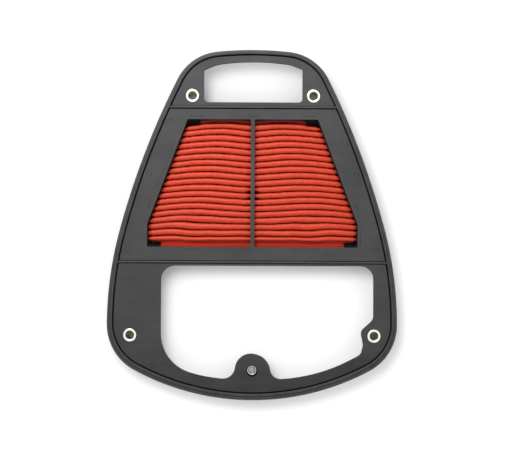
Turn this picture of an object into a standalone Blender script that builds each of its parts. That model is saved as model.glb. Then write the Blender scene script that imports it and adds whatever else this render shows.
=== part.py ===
"""Panel air filter for a motorcycle airbox, as an assembly of separate pieces.

Metres, +Z up.  The filter lies flat on the rear face of its tray.  +Z is the front, which the
incoming air meets, and +Y points to the narrow nose.  The origin is under the middle of the outline.
"""
import math

import bmesh
import bpy

# ---- driving dimensions --------------------------------------------------------------------

CHORD_ERROR = 0.00005          # how far a facet may stand off its true arc

# Right half of the outer outline, nose to tail, as tangent arcs: (radius, degrees turned).
# The tail arc closes the outline on the centre line, so its radius follows from these.
RIM_ARCS = (
    (0.2500, 5.9),             # nose
    (0.0355, 57.6),            # shoulder
    (0.5700, 11.6),            # flank
    (0.2630, 14.8),            # hip
    (0.0370, 61.8),            # lower corner
)

# Heights, from the rear face of the tray upwards
COLLAR_LOW = 0.0               # the collars stand as deep as the tray
TRAY_FLOOR = 0.0016
TRAY_TOP = 0.0147
REAR_SEAL_LOW = 0.0105
PLATE_BOTTOM = 0.0150
REBATE_FLOOR = 0.0168
GROOVE_FLOOR = 0.0180
PLATE_TOP = 0.0190
COLLAR_TOP = 0.0195
FRONT_SEAL_TOP = 0.0205
GAP = 0.0003                   # between pieces that touch

# Moulded plate
FLANGE_INSET = 0.0004          # plate edge, in from the outer outline
FIELD_INSET = 0.0048           # raised field, in from the outer outline
FIELD_SHIFT = 0.0008           # the field sits this much nearer the nose
SEAL_INNER_INSET = 0.0038
REAR_SEAL_OUTER_INSET = 0.0008
REAR_SEAL_INNER_INSET = 0.0046

TOP_OPENING = (                # corners of the opening in the nose: x, y, radius
    (-0.0350, 0.0874, 0.0030),
    (-0.0350, 0.1100, 0.0006),
    (-0.0265, 0.1141, 0.0300),
    (-0.0105, 0.1162, 0.1500),
    (0.0105, 0.1162, 0.1500),
    (0.0265, 0.1144, 0.0300),
    (0.0352, 0.1110, 0.0006),
    (0.0352, 0.0874, 0.0030),
)
BOTTOM_OPENING = (             # corners of the big opening in the tail: x, y, radius
    (-0.0650, -0.0292, 0.0100),
    (-0.0651, -0.0988, 0.0290),
    (-0.0360, -0.1080, 0.0930),
    (-0.0131, -0.1107, 0.0085),     # left foot of the screw boss
    (-0.0104, -0.0879, 0.0117),     # round the screw boss
    (0.0121, -0.0952, 0.0128),
    (0.0140, -0.1103, 0.0076),      # right foot of the screw boss
    (0.0472, -0.1082, 0.1220),
    (0.0778, -0.0921, 0.0056),
    (0.0794, -0.0852, 0.0070),      # bulge round the right-hand bolt boss
    (0.0774, -0.0754, 0.0050),
    (0.0866, -0.0671, 0.0053),
    (0.0865, -0.0290, 0.0092),
)

# Element window: corners of its right half, top to bottom
WINDOW_TOP_HALF = 0.0465
WINDOW_TOP_Y = 0.0753
WINDOW_HALF = 0.0750
WINDOW_SHOULDER_Y = 0.0007
WINDOW_LOW_Y = -0.0157
WINDOW_RADIUS = 0.0008
RIB_WIDTH = 0.0027
RIB_UNDERSIDE = 0.0172

# Seal bars across the plate, and the grooves they lie in
BAR_YS = (0.0840, -0.0265)
BAR_REACHES = (0.0613, 0.0984)      # half length, which ends inside the rim of the seal
BAR_WIDTH = 0.0014
BAR_TOP = 0.0196
GROOVE_YS = (0.08375, -0.0265)
GROOVE_WIDTH = 0.0024

# Bolt collars, and the screw eyelet in the tail
TOP_BOLT = (0.04315, 0.0920)
BOTTOM_BOLT = (0.0870, -0.0787)
COLLAR_RADIUS = 0.0047
COLLAR_BORE = 0.0031
COLLAR_CHAMFER = 0.0003
BOSS_RADIUS = 0.0070
BOSS_LOW = 0.0113
EYELET_XY = (0.0001, -0.1035)
EYELET_HOLE_XY = (0.0003, -0.1041)
EYELET_HOLE_RADIUS = 0.0039
EYELET_RADIUS = 0.00325
EYELET_BORE = 0.0020
EYELET_FLANGE_RADIUS = 0.0054
EYELET_LOW = 0.0135
EYELET_TOP = 0.0188

# Tray, measured out from the element window
TRAY_INNER = 0.0010
TRAY_OUTER = 0.0028
TRAY_FLANGE = 0.0060
TRAY_FLANGE_THICK = 0.0019
TRAY_LEDGE = -0.0020
GRID_RIB = 0.0020
GRID_YS = (0.0450, 0.0145)

# Flame screen and its folded steel border, measured out from the element window
SCREEN_EDGE = -0.0014
SCREEN_LOW = 0.0021
SCREEN_TOP = 0.0028
BORDER_INNER = -0.0011
BORDER_OUTER = 0.0007
BORDER_LOW = 0.0019
BORDER_TOP = 0.0031

# Pleated paper
PLEAT_COUNT = 19
PLEAT_PITCH = 0.00443
FIRST_PLEAT_Y = 0.0693
PAPER_LOW = 0.0034
PAPER_TOP = 0.0156
PAPER_THICK = 0.0006
TIP_RADIUS = 0.0015            # middle of the paper, over a tip
PAPER_END = -0.0015            # ends of the pleats, measured out from the element window
FLAP_TOP = 0.0144              # the half pleats at both ends, which tuck under the plate
FLAP_END_YS = (0.0759, -0.0163)
FLAP_HALF_WIDTHS = (0.0375, 0.0655)

# Sealing compounds
POTTING_INNER = -0.0012
POTTING_OUTER = 0.0007
POTTING_TOP = 0.0130
STRIP_TOP = 0.0132
STRIP_INNER_YS = (0.0730, -0.0142)
BEAD_LOW = 0.0159
BEAD_HALF_WIDTH = 0.0011
BEAD_END_YS = (0.0735, -0.0139)


# ---- the scene -----------------------------------------------------------------------------

def clear_scene():
    for item in list(bpy.data.objects):
        bpy.data.objects.remove(item)


def new_collection(name):
    collection = bpy.data.collections.new(name)
    bpy.context.scene.collection.children.link(collection)
    return collection


def new_object(name, mesh, collection):
    piece = bpy.data.objects.new(name, mesh)
    collection.objects.link(piece)
    return piece


def paint(piece, material):
    piece.data.materials.clear()
    piece.data.materials.append(material)


def plain_material(name, colour, roughness, metallic=0.0):
    material = bpy.data.materials.new(name)
    material.use_nodes = True
    shader = material.node_tree.nodes["Principled BSDF"]
    shader.inputs["Base Color"].default_value = (*colour, 1.0)
    shader.inputs["Roughness"].default_value = roughness
    shader.inputs["Metallic"].default_value = metallic
    return material


# ---- outlines ------------------------------------------------------------------------------

def steps_for(radius, sweep):
    """Number of chords that keep an arc within CHORD_ERROR."""
    chord_angle = 2.0 * math.acos(1.0 - min(CHORD_ERROR / radius, 0.5))
    return max(2, math.ceil(abs(sweep) / chord_angle))


def arc_points(centre, radius, start, sweep):
    """Points along an arc, both ends included."""
    steps = steps_for(radius, sweep)
    angles = [start + sweep * step / steps for step in range(steps + 1)]
    return [(centre[0] + radius * math.cos(a), centre[1] + radius * math.sin(a)) for a in angles]


def circle_outline(centre, radius, count=32):
    angles = [2.0 * math.pi * step / count for step in range(count)]
    return [(centre[0] + radius * math.cos(a), centre[1] + radius * math.sin(a)) for a in angles]


def half_rim(inset):
    """Right half of the outline, nose to tail, moved in by inset; the nose starts at y = 0."""
    points = [(0.0, -inset)]
    heading = math.pi / 2.0                    # angle of the radius to the current point
    x, y = 0.0, -inset
    for radius, degrees in RIM_ARCS:
        radius -= inset
        sweep = -math.radians(degrees)
        centre = (x - radius * math.cos(heading), y - radius * math.sin(heading))
        points += arc_points(centre, radius, heading, sweep)[1:]
        heading += sweep
        x, y = points[-1]
    tail_radius = x / math.cos(heading)
    centre = (0.0, y - tail_radius * math.sin(heading))
    points += arc_points(centre, tail_radius, heading, -math.pi / 2.0 - heading)[1:]
    return points


def rim_outline(inset, shift=0.0):
    """The whole outline, moved in by inset and towards the nose by shift."""
    length = -half_rim(0.0)[-1][1]
    right = [(x, y + length / 2.0 + shift) for x, y in half_rim(inset)]
    left = [(-x, y) for x, y in reversed(right[1:-1])]
    return right + left


def rounded_outline(corners):
    """A closed outline through corners (x, y, radius), each rounded by an arc."""
    points = []
    for index, (x, y, radius) in enumerate(corners):
        before = corners[index - 1]
        after = corners[(index + 1) % len(corners)]
        to_before = math.atan2(before[1] - y, before[0] - x)
        to_after = math.atan2(after[1] - y, after[0] - x)
        turn = (to_after - to_before + math.pi) % (2.0 * math.pi) - math.pi
        middle = to_before + turn / 2.0
        reach = radius / math.sin(abs(turn) / 2.0)
        centre = (x + reach * math.cos(middle), y + reach * math.sin(middle))
        side = math.copysign(1.0, turn)
        start = to_before - side * math.pi / 2.0
        sweep = -side * (math.pi - abs(turn))
        points += arc_points(centre, radius, start, sweep)
    return points


def window_corners(out, radius):
    """The element window's six corners, moved out by a distance, each with a radius."""
    run = WINDOW_HALF - WINDOW_TOP_HALF
    fall = WINDOW_TOP_Y - WINDOW_SHOULDER_Y
    slope = math.hypot(run, fall)
    top_x = WINDOW_TOP_HALF + out * (slope - run) / fall
    shoulder_y = WINDOW_SHOULDER_Y + out * (slope - fall) / run
    right = [
        (top_x, WINDOW_TOP_Y + out, radius),
        (WINDOW_HALF + out, shoulder_y, radius),
        (WINDOW_HALF + out, WINDOW_LOW_Y - out, radius),
    ]
    return right + [(-x, y, radius) for x, y, radius in reversed(right)]


def window_outline(out, radius=WINDOW_RADIUS):
    return rounded_outline(window_corners(out, radius))


def slanted_edge_x(y, out):
    """Half width at height y of the window moved out by a distance."""
    top, shoulder = window_corners(out, 0.0)[:2]
    share = (top[1] - y) / (top[1] - shoulder[1])
    return min(top[0] + (shoulder[0] - top[0]) * share, shoulder[0])


# ---- solids --------------------------------------------------------------------------------

def extruded(name, loops, low, high, collection):
    """Fill the loops, holes left open, and extrude them between two heights."""
    curve = bpy.data.curves.new(name, "CURVE")
    curve.dimensions = "2D"
    curve.fill_mode = "BOTH"
    curve.extrude = (high - low) / 2.0
    for loop in loops:
        spline = curve.splines.new("POLY")
        spline.points.add(len(loop) - 1)
        for point, (x, y) in zip(spline.points, loop):
            point.co = (x, y, 0.0, 1.0)
        spline.use_cyclic_u = True
    outline = new_object(name + "_outline", curve, collection)
    outline.location.z = (low + high) / 2.0
    bpy.context.view_layer.update()
    depsgraph = bpy.context.evaluated_depsgraph_get()
    mesh = bpy.data.meshes.new_from_object(outline.evaluated_get(depsgraph))
    piece = new_object(name, mesh, collection)
    piece.matrix_world = outline.matrix_world
    bpy.data.objects.remove(outline)
    weld(piece)
    return piece


def weld(piece):
    """Close a mesh whose caps came loose from its walls."""
    cage = bmesh.new()
    cage.from_mesh(piece.data)
    bmesh.ops.remove_doubles(cage, verts=cage.verts, dist=0.000001)
    bmesh.ops.recalc_face_normals(cage, faces=cage.faces)
    cage.to_mesh(piece.data)
    cage.free()


def boxed(name, low, high, collection):
    mesh = bpy.data.meshes.new(name)
    cage = bmesh.new()
    bmesh.ops.create_cube(cage, size=1.0)
    size = [high[axis] - low[axis] for axis in range(3)]
    bmesh.ops.scale(cage, vec=size, verts=cage.verts)
    cage.to_mesh(mesh)
    cage.free()
    piece = new_object(name, mesh, collection)
    piece.location = [(low[axis] + high[axis]) / 2.0 for axis in range(3)]
    return piece


def turned(name, profile, centre, collection, steps=32):
    """Turn a profile of (radius, height) points, run down its outer side, about its own axis."""
    mesh = bpy.data.meshes.new(name)
    verts = [(radius, 0.0, height) for radius, height in profile]
    edges = [(i, (i + 1) % len(verts)) for i in range(len(verts))]
    mesh.from_pydata(verts, edges, [])
    piece = new_object(name, mesh, collection)
    piece.location = (centre[0], centre[1], 0.0)
    screw = piece.modifiers.new("turn", "SCREW")
    screw.steps = steps
    screw.render_steps = steps
    screw.use_merge_vertices = True
    screw.merge_threshold = 0.00001
    screw.use_smooth_shade = True
    return piece


def combine(target, tool, operation):
    """Apply one piece to another; the tool stays in the cutters as a wire guide."""
    tool.hide_render = True
    tool.display_type = "WIRE"
    boolean = target.modifiers.new(operation.lower() + "_" + tool.name, "BOOLEAN")
    boolean.operation = operation
    boolean.solver = "EXACT"
    boolean.object = tool


def soften(piece, width, segments=2):
    """Round the sharp edges of a piece."""
    bevel = piece.modifiers.new("soft_edges", "BEVEL")
    bevel.width = width
    bevel.segments = segments
    bevel.limit_method = "ANGLE"
    bevel.angle_limit = math.radians(50.0)


def smooth_round_faces(piece):
    piece.data.shade_smooth()
    piece.data.set_sharp_from_angle(angle=math.radians(40.0))


# ---- the pieces ----------------------------------------------------------------------------

def bolt_places():
    """Each bolt's name and centre."""
    return (
        ("top_left", (-TOP_BOLT[0], TOP_BOLT[1])),
        ("top_right", TOP_BOLT),
        ("bottom_left", (-BOTTOM_BOLT[0], BOTTOM_BOLT[1])),
        ("bottom_right", BOTTOM_BOLT),
    )


def window_halves():
    """The window as two openings, one on each side of the centre rib."""
    top, shoulder, low = window_corners(0.0, WINDOW_RADIUS)[:3]
    inner = RIB_WIDTH / 2.0
    right = [(inner, top[1], WINDOW_RADIUS), top, shoulder, low, (inner, low[1], WINDOW_RADIUS)]
    left = [(-x, y, radius) for x, y, radius in right]
    return rounded_outline(right), rounded_outline(left)


def make_front_plate(parts, cutters, material):
    """Moulded plate with the two big openings, the element window and the bolt bosses."""
    loops = [rim_outline(FLANGE_INSET), rounded_outline(TOP_OPENING), rounded_outline(BOTTOM_OPENING)]
    loops += window_halves()
    loops.append(circle_outline(EYELET_HOLE_XY, EYELET_HOLE_RADIUS))
    plate = extruded("front_plate", loops, PLATE_BOTTOM, PLATE_TOP, parts)

    clear = 0.001
    ring = [rim_outline(-clear), rim_outline(FIELD_INSET, FIELD_SHIFT)]
    rebate = extruded("rebate_cutter", ring, REBATE_FLOOR, PLATE_TOP + clear, cutters)
    combine(plate, rebate, "DIFFERENCE")

    inside = WINDOW_LOW_Y + 0.0006, WINDOW_TOP_Y - 0.0006
    relief = boxed("rib_relief_cutter", (-0.003, inside[0], PLATE_BOTTOM - clear),
                   (0.003, inside[1], RIB_UNDERSIDE), cutters)
    combine(plate, relief, "DIFFERENCE")

    for index, (y, reach) in enumerate(zip(GROOVE_YS, BAR_REACHES)):
        low = (-reach - clear, y - GROOVE_WIDTH / 2.0, GROOVE_FLOOR)
        high = (reach + clear, y + GROOVE_WIDTH / 2.0, PLATE_TOP + clear)
        combine(plate, boxed(f"bar_groove_cutter_{index}", low, high, cutters), "DIFFERENCE")

    for name, centre in bolt_places():
        outline = circle_outline(centre, BOSS_RADIUS)
        boss = extruded("boss_" + name, [outline], BOSS_LOW, PLATE_TOP - clear, cutters)
        combine(plate, boss, "UNION")
        bore = circle_outline(centre, COLLAR_RADIUS + GAP)
        drill = extruded("drill_" + name, [bore], BOSS_LOW - clear, PLATE_TOP + clear, cutters)
        combine(plate, drill, "DIFFERENCE")
    paint(plate, material)


def make_front_seal(parts, cutters, material):
    """Rubber seal moulded round the front rim, with two bars that cross the plate."""
    ring = [rim_outline(0.0), rim_outline(SEAL_INNER_INSET, FIELD_SHIFT)]
    seal = extruded("front_seal", ring, REBATE_FLOOR + GAP, FRONT_SEAL_TOP, parts)
    soften(seal, 0.0006)
    for index, (y, reach) in enumerate(zip(BAR_YS, BAR_REACHES)):
        low = (-reach, y - BAR_WIDTH / 2.0, GROOVE_FLOOR + GAP)
        high = (reach, y + BAR_WIDTH / 2.0, BAR_TOP)
        combine(seal, boxed(f"seal_bar_{index}", low, high, cutters), "UNION")
    paint(seal, material)


def make_rear_seal(parts, material):
    """Rubber seal under the rim, which the airbox lip presses on."""
    ring = [rim_outline(REAR_SEAL_OUTER_INSET), rim_outline(REAR_SEAL_INNER_INSET)]
    seal = extruded("rear_seal", ring, REAR_SEAL_LOW, PLATE_BOTTOM - GAP, parts)
    soften(seal, 0.0008)
    paint(seal, material)


def grid_cells():
    """Openings of the tray's rear grid: two columns of three."""
    ys = [WINDOW_TOP_Y + TRAY_LEDGE, *GRID_YS, WINDOW_LOW_Y - TRAY_LEDGE]
    inner = GRID_RIB / 2.0
    cells = []
    for row in range(len(ys) - 1):
        top = ys[row] - (inner if row else 0.0)
        low = ys[row + 1] + (inner if row < len(ys) - 2 else 0.0)
        right = [(inner, top, 0.001), (slanted_edge_x(top, TRAY_LEDGE), top, 0.001)]
        if low < WINDOW_SHOULDER_Y:
            right.append((*window_corners(TRAY_LEDGE, 0.001)[1][:2], 0.001))
        right += [(slanted_edge_x(low, TRAY_LEDGE), low, 0.001), (inner, low, 0.001)]
        cells.append(rounded_outline(right))
        cells.append(rounded_outline([(-x, y, radius) for x, y, radius in right]))
    return cells


def make_rear_tray(parts, cutters, material):
    """Tray that holds the element: walls, a flange welded to the plate, and a rear grid."""
    clear = 0.001
    tray = extruded("rear_tray", [window_outline(TRAY_OUTER, 0.003)], 0.0, TRAY_TOP - clear, parts)
    flange = extruded("tray_flange", [window_outline(TRAY_FLANGE, 0.004)],
                      TRAY_TOP - TRAY_FLANGE_THICK, TRAY_TOP, cutters)
    combine(tray, flange, "UNION")
    hollow = extruded("tray_cutter", [window_outline(TRAY_INNER, 0.0015)],
                      TRAY_FLOOR, TRAY_TOP + clear, cutters)
    combine(tray, hollow, "DIFFERENCE")
    cells = extruded("grid_cutter", grid_cells(), -clear, TRAY_FLOOR + clear, cutters)
    combine(tray, cells, "DIFFERENCE")
    paint(tray, material)


def make_wire_screen(parts, material):
    """Flame screen as one thin sheet of the woven wire's own outline and thickness."""
    screen = extruded("wire_screen", [window_outline(SCREEN_EDGE)], SCREEN_LOW, SCREEN_TOP, parts)
    paint(screen, material)


def make_screen_border(parts, material):
    """Steel strip folded round the edge of the flame screen."""
    ring = [window_outline(BORDER_OUTER, 0.001), window_outline(BORDER_INNER, 0.001)]
    border = extruded("screen_border", ring, BORDER_LOW, BORDER_TOP, parts)
    paint(border, material)


def pleat_path():
    """Middle of the paper in (y, z): full pleats, with a half pleat at each end."""
    low = PAPER_LOW + PAPER_THICK / 2.0
    tip_centre = PAPER_TOP - PAPER_THICK / 2.0 - TIP_RADIUS
    flap = FLAP_TOP - PAPER_THICK / 2.0
    valley_radius = PLEAT_PITCH / 2.0 - TIP_RADIUS
    quarter = math.pi / 2.0

    first = FIRST_PLEAT_Y + PLEAT_PITCH
    path = [(FLAP_END_YS[0], flap)]
    path += coarse_arc((first, flap - TIP_RADIUS), TIP_RADIUS, quarter, quarter, 3)
    for index in range(PLEAT_COUNT + 1):
        y = FIRST_PLEAT_Y - index * PLEAT_PITCH
        valley = (y + PLEAT_PITCH / 2.0, low + valley_radius)
        path += coarse_arc(valley, valley_radius, 0.0, -math.pi)
        if index < PLEAT_COUNT:
            path += coarse_arc((y, tip_centre), TIP_RADIUS, 0.0, math.pi)
    path += coarse_arc((y, flap - TIP_RADIUS), TIP_RADIUS, 0.0, quarter, 3)
    path.append((FLAP_END_YS[1], flap))
    return path


def coarse_arc(centre, radius, start, sweep, steps=5):
    angles = [start + sweep * step / steps for step in range(steps + 1)]
    return [(centre[0] + radius * math.cos(a), centre[1] + radius * math.sin(a)) for a in angles]


def thickened(path, thickness):
    """Closed outline of a strip of even thickness that runs along a path."""
    sides = ([], [])
    for index, (x, y) in enumerate(path):
        before = path[max(index - 1, 0)]
        after = path[min(index + 1, len(path) - 1)]
        ahead = math.atan2(after[1] - y, after[0] - x) if index < len(path) - 1 else None
        behind = math.atan2(y - before[1], x - before[0]) if index else ahead
        ahead = behind if ahead is None else ahead
        bend = (ahead - behind + math.pi) % (2.0 * math.pi) - math.pi
        normal = behind + bend / 2.0 + math.pi / 2.0
        reach = thickness / 2.0 / math.cos(bend / 2.0)
        sides[0].append((x + reach * math.cos(normal), y + reach * math.sin(normal)))
        sides[1].append((x - reach * math.cos(normal), y - reach * math.sin(normal)))
    return sides[0] + sides[1][::-1]


def paper_corners():
    """Outline the paper is cut to: the half pleats at both ends are shorter than the rest."""
    shoulder = window_corners(PAPER_END, 0.0)[1]
    step_top = FIRST_PLEAT_Y + PLEAT_PITCH / 2.0
    step_low = FIRST_PLEAT_Y - (PLEAT_COUNT - 0.5) * PLEAT_PITCH
    beyond = 0.001
    right = [
        (FLAP_HALF_WIDTHS[0], FLAP_END_YS[0] + beyond, 0.0002),
        (FLAP_HALF_WIDTHS[0], step_top, 0.0002),
        (slanted_edge_x(step_top, PAPER_END), step_top, 0.0002),
        (shoulder[0], shoulder[1], 0.0008),
        (shoulder[0], step_low, 0.0002),
        (FLAP_HALF_WIDTHS[1], step_low, 0.0002),
        (FLAP_HALF_WIDTHS[1], FLAP_END_YS[1] - beyond, 0.0002),
    ]
    return right + [(-x, y, radius) for x, y, radius in reversed(right)]


def make_pleated_paper(parts, cutters, material):
    """One sheet of filter paper in pleats that run across the window."""
    strip = thickened(pleat_path(), PAPER_THICK)
    paper = extruded("pleated_paper", [strip], -WINDOW_HALF, WINDOW_HALF, parts)
    paper.rotation_euler = (math.pi / 2.0, 0.0, math.pi / 2.0)
    trim = extruded("paper_trimmer", [rounded_outline(paper_corners())], 0.0, PLATE_TOP, cutters)
    combine(paper, trim, "INTERSECT")
    paint(paper, material)


def make_potting(name, side, parts, material):
    """Sealing compound along one side wall of the tray, pooled in the corners at both ends.

    It holds the ends of the full pleats, and its pools fill the corners beside the half pleats.
    """
    outer = window_corners(POTTING_OUTER, 0.0)[1]
    inner = window_corners(POTTING_INNER, 0.0)[1]
    top, low = window_corners(TRAY_INNER - GAP, 0.0)[0][1], WINDOW_LOW_Y - TRAY_INNER + GAP
    pool_top = FIRST_PLEAT_Y + PLEAT_PITCH / 2.0 + GAP
    pool_low = FIRST_PLEAT_Y - (PLEAT_COUNT - 0.5) * PLEAT_PITCH - GAP
    right = [
        (slanted_edge_x(top, POTTING_OUTER), top, 0.0016),
        (outer[0], outer[1], 0.001),
        (outer[0], low, 0.0016),
        (FLAP_HALF_WIDTHS[1] + GAP, low, 0.0004),
        (FLAP_HALF_WIDTHS[1] + GAP, pool_low, 0.0004),
        (inner[0], pool_low, 0.0004),
        (inner[0], inner[1], 0.001),
        (slanted_edge_x(pool_top, POTTING_INNER), pool_top, 0.0004),
        (FLAP_HALF_WIDTHS[0] + GAP, pool_top, 0.0004),
        (FLAP_HALF_WIDTHS[0] + GAP, top, 0.0004),
    ]
    outline = rounded_outline([(side * x, y, radius) for x, y, radius in right])
    paint(extruded(name, [outline], PAPER_LOW, POTTING_TOP, parts), material)


def make_glue_strip(name, half_width, low_y, high_y, parts, material):
    """Hot-melt strip under a half pleat of the paper, against an end wall of the tray."""
    strip = boxed(name, (-half_width, low_y, PAPER_LOW), (half_width, high_y, STRIP_TOP), parts)
    soften(strip, 0.0005)
    paint(strip, material)


def make_centre_bead(parts, material):
    """Hot-melt bead under the centre rib that spaces the pleats."""
    half = BEAD_HALF_WIDTH
    low = (-half, BEAD_END_YS[1], BEAD_LOW)
    high = (half, BEAD_END_YS[0], RIB_UNDERSIDE - GAP)
    bead = boxed("centre_glue_bead", low, high, parts)
    soften(bead, 0.0003)
    paint(bead, material)


def make_collars(parts, material):
    """Steel compression collars that the bolts pass through."""
    outer, bore, chamfer = COLLAR_RADIUS, COLLAR_BORE, COLLAR_CHAMFER
    profile = [
        (bore + chamfer, COLLAR_TOP),
        (outer - chamfer, COLLAR_TOP),
        (outer, COLLAR_TOP - chamfer),
        (outer, COLLAR_LOW + chamfer),
        (outer - chamfer, COLLAR_LOW),
        (bore + chamfer, COLLAR_LOW),
        (bore, COLLAR_LOW + chamfer),
        (bore, COLLAR_TOP - chamfer),
    ]
    for name, centre in bolt_places():
        collar = turned("bolt_collar_" + name, profile, centre, parts)
        paint(collar, material)


def make_eyelet(parts, material):
    """Flanged eyelet for the retaining screw, loose in its hole and held from behind."""
    under_plate = PLATE_BOTTOM - GAP
    profile = [
        (EYELET_BORE + 0.0003, EYELET_TOP),
        (EYELET_RADIUS - 0.0003, EYELET_TOP),
        (EYELET_RADIUS, EYELET_TOP - 0.0003),
        (EYELET_RADIUS, under_plate),
        (EYELET_FLANGE_RADIUS, under_plate),
        (EYELET_FLANGE_RADIUS, EYELET_LOW),
        (EYELET_BORE, EYELET_LOW),
        (EYELET_BORE, EYELET_TOP - 0.0003),
    ]
    eyelet = turned("screw_eyelet", profile, EYELET_XY, parts)
    paint(eyelet, material)


def main():
    clear_scene()
    parts = new_collection("panel_air_filter")
    cutters = new_collection("cutters")

    plastic = plain_material("moulded_plastic", (0.085, 0.085, 0.087), 0.60)
    tray_plastic = plain_material("tray_plastic", (0.070, 0.070, 0.072), 0.62)
    rubber = plain_material("seal_rubber", (0.075, 0.075, 0.077), 0.70)
    paper = plain_material("oiled_paper", (0.600, 0.045, 0.020), 0.60)
    compound = plain_material("potting_compound", (0.030, 0.012, 0.010), 0.45)
    hot_melt = plain_material("hot_melt", (0.120, 0.030, 0.020), 0.40)
    zinc = plain_material("zinc_plate", (0.820, 0.820, 0.800), 0.28, 1.0)
    copper_plate = plain_material("copper_plate", (0.620, 0.500, 0.450), 0.32, 1.0)
    steel_wire = plain_material("steel_wire", (0.480, 0.480, 0.470), 0.35, 1.0)

    make_front_plate(parts, cutters, plastic)
    make_front_seal(parts, cutters, rubber)
    make_rear_seal(parts, rubber)
    make_rear_tray(parts, cutters, tray_plastic)
    make_wire_screen(parts, steel_wire)
    make_screen_border(parts, zinc)
    make_pleated_paper(parts, cutters, paper)
    make_potting("potting_left", -1.0, parts, compound)
    make_potting("potting_right", 1.0, parts, compound)
    strip_top = (STRIP_INNER_YS[0], WINDOW_TOP_Y + TRAY_INNER - GAP)
    make_glue_strip("glue_strip_top", FLAP_HALF_WIDTHS[0], *strip_top, parts, hot_melt)
    strip_low = (WINDOW_LOW_Y - TRAY_INNER + GAP, STRIP_INNER_YS[1])
    make_glue_strip("glue_strip_bottom", FLAP_HALF_WIDTHS[1], *strip_low, parts, hot_melt)
    make_centre_bead(parts, hot_melt)
    make_collars(parts, zinc)
    make_eyelet(parts, copper_plate)

    for piece in parts.objects:
        smooth_round_faces(piece)
    cutters.hide_viewport = False


main()
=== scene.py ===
"""Looks of a panel air filter for a motorcycle airbox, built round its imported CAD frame.

Metres, +Z up.  The filter lies on the rear face of its tray with its front up and its nose to +Y.
"""
import math

import bmesh
import bpy
import numpy as np
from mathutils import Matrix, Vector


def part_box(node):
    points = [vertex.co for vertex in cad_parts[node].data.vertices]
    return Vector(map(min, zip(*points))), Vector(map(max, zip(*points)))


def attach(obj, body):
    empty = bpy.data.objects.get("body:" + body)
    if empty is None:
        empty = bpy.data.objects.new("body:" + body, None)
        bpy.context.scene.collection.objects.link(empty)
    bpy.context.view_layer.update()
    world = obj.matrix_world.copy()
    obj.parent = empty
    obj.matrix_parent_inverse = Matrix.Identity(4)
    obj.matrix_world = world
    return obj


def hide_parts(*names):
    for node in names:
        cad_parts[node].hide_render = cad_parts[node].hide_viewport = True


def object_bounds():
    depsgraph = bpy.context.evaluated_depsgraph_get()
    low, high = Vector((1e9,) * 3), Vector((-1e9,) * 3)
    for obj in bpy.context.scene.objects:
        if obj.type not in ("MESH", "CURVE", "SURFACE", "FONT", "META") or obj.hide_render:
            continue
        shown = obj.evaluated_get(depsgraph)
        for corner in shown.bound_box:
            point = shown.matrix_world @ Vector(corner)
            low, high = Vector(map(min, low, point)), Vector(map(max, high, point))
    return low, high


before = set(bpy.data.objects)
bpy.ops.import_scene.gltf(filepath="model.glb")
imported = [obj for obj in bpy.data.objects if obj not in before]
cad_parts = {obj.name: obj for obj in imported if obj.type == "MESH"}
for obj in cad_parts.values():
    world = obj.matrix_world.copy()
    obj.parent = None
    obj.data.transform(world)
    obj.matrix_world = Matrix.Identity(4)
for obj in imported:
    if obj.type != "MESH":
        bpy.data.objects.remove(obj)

cad_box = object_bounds()
mm = 0.001


# ---- Moulded plate -------------------------------------------------------------------------
# One injection moulding in mid grey nylon: rim flange, raised field, nose and tail openings,
# window with its centre rib, bolt and screw bosses.  Every edge keeps the small radius of the
# mould, and the faces a fine spark-eroded grain under a clouded, faintly streaked skin.

class Value:
    """A socket of a finish; sums, differences and products of it add Math nodes."""

    def __init__(self, finish, socket):
        self.finish = finish
        self.socket = socket

    def __add__(self, other):
        return self.finish.math("ADD", self, other)

    def __sub__(self, other):
        return self.finish.math("SUBTRACT", self, other)

    def __rsub__(self, other):
        return self.finish.math("SUBTRACT", other, self)

    def __mul__(self, other):
        return self.finish.math("MULTIPLY", self, other)

    __radd__ = __add__
    __rmul__ = __mul__


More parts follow.
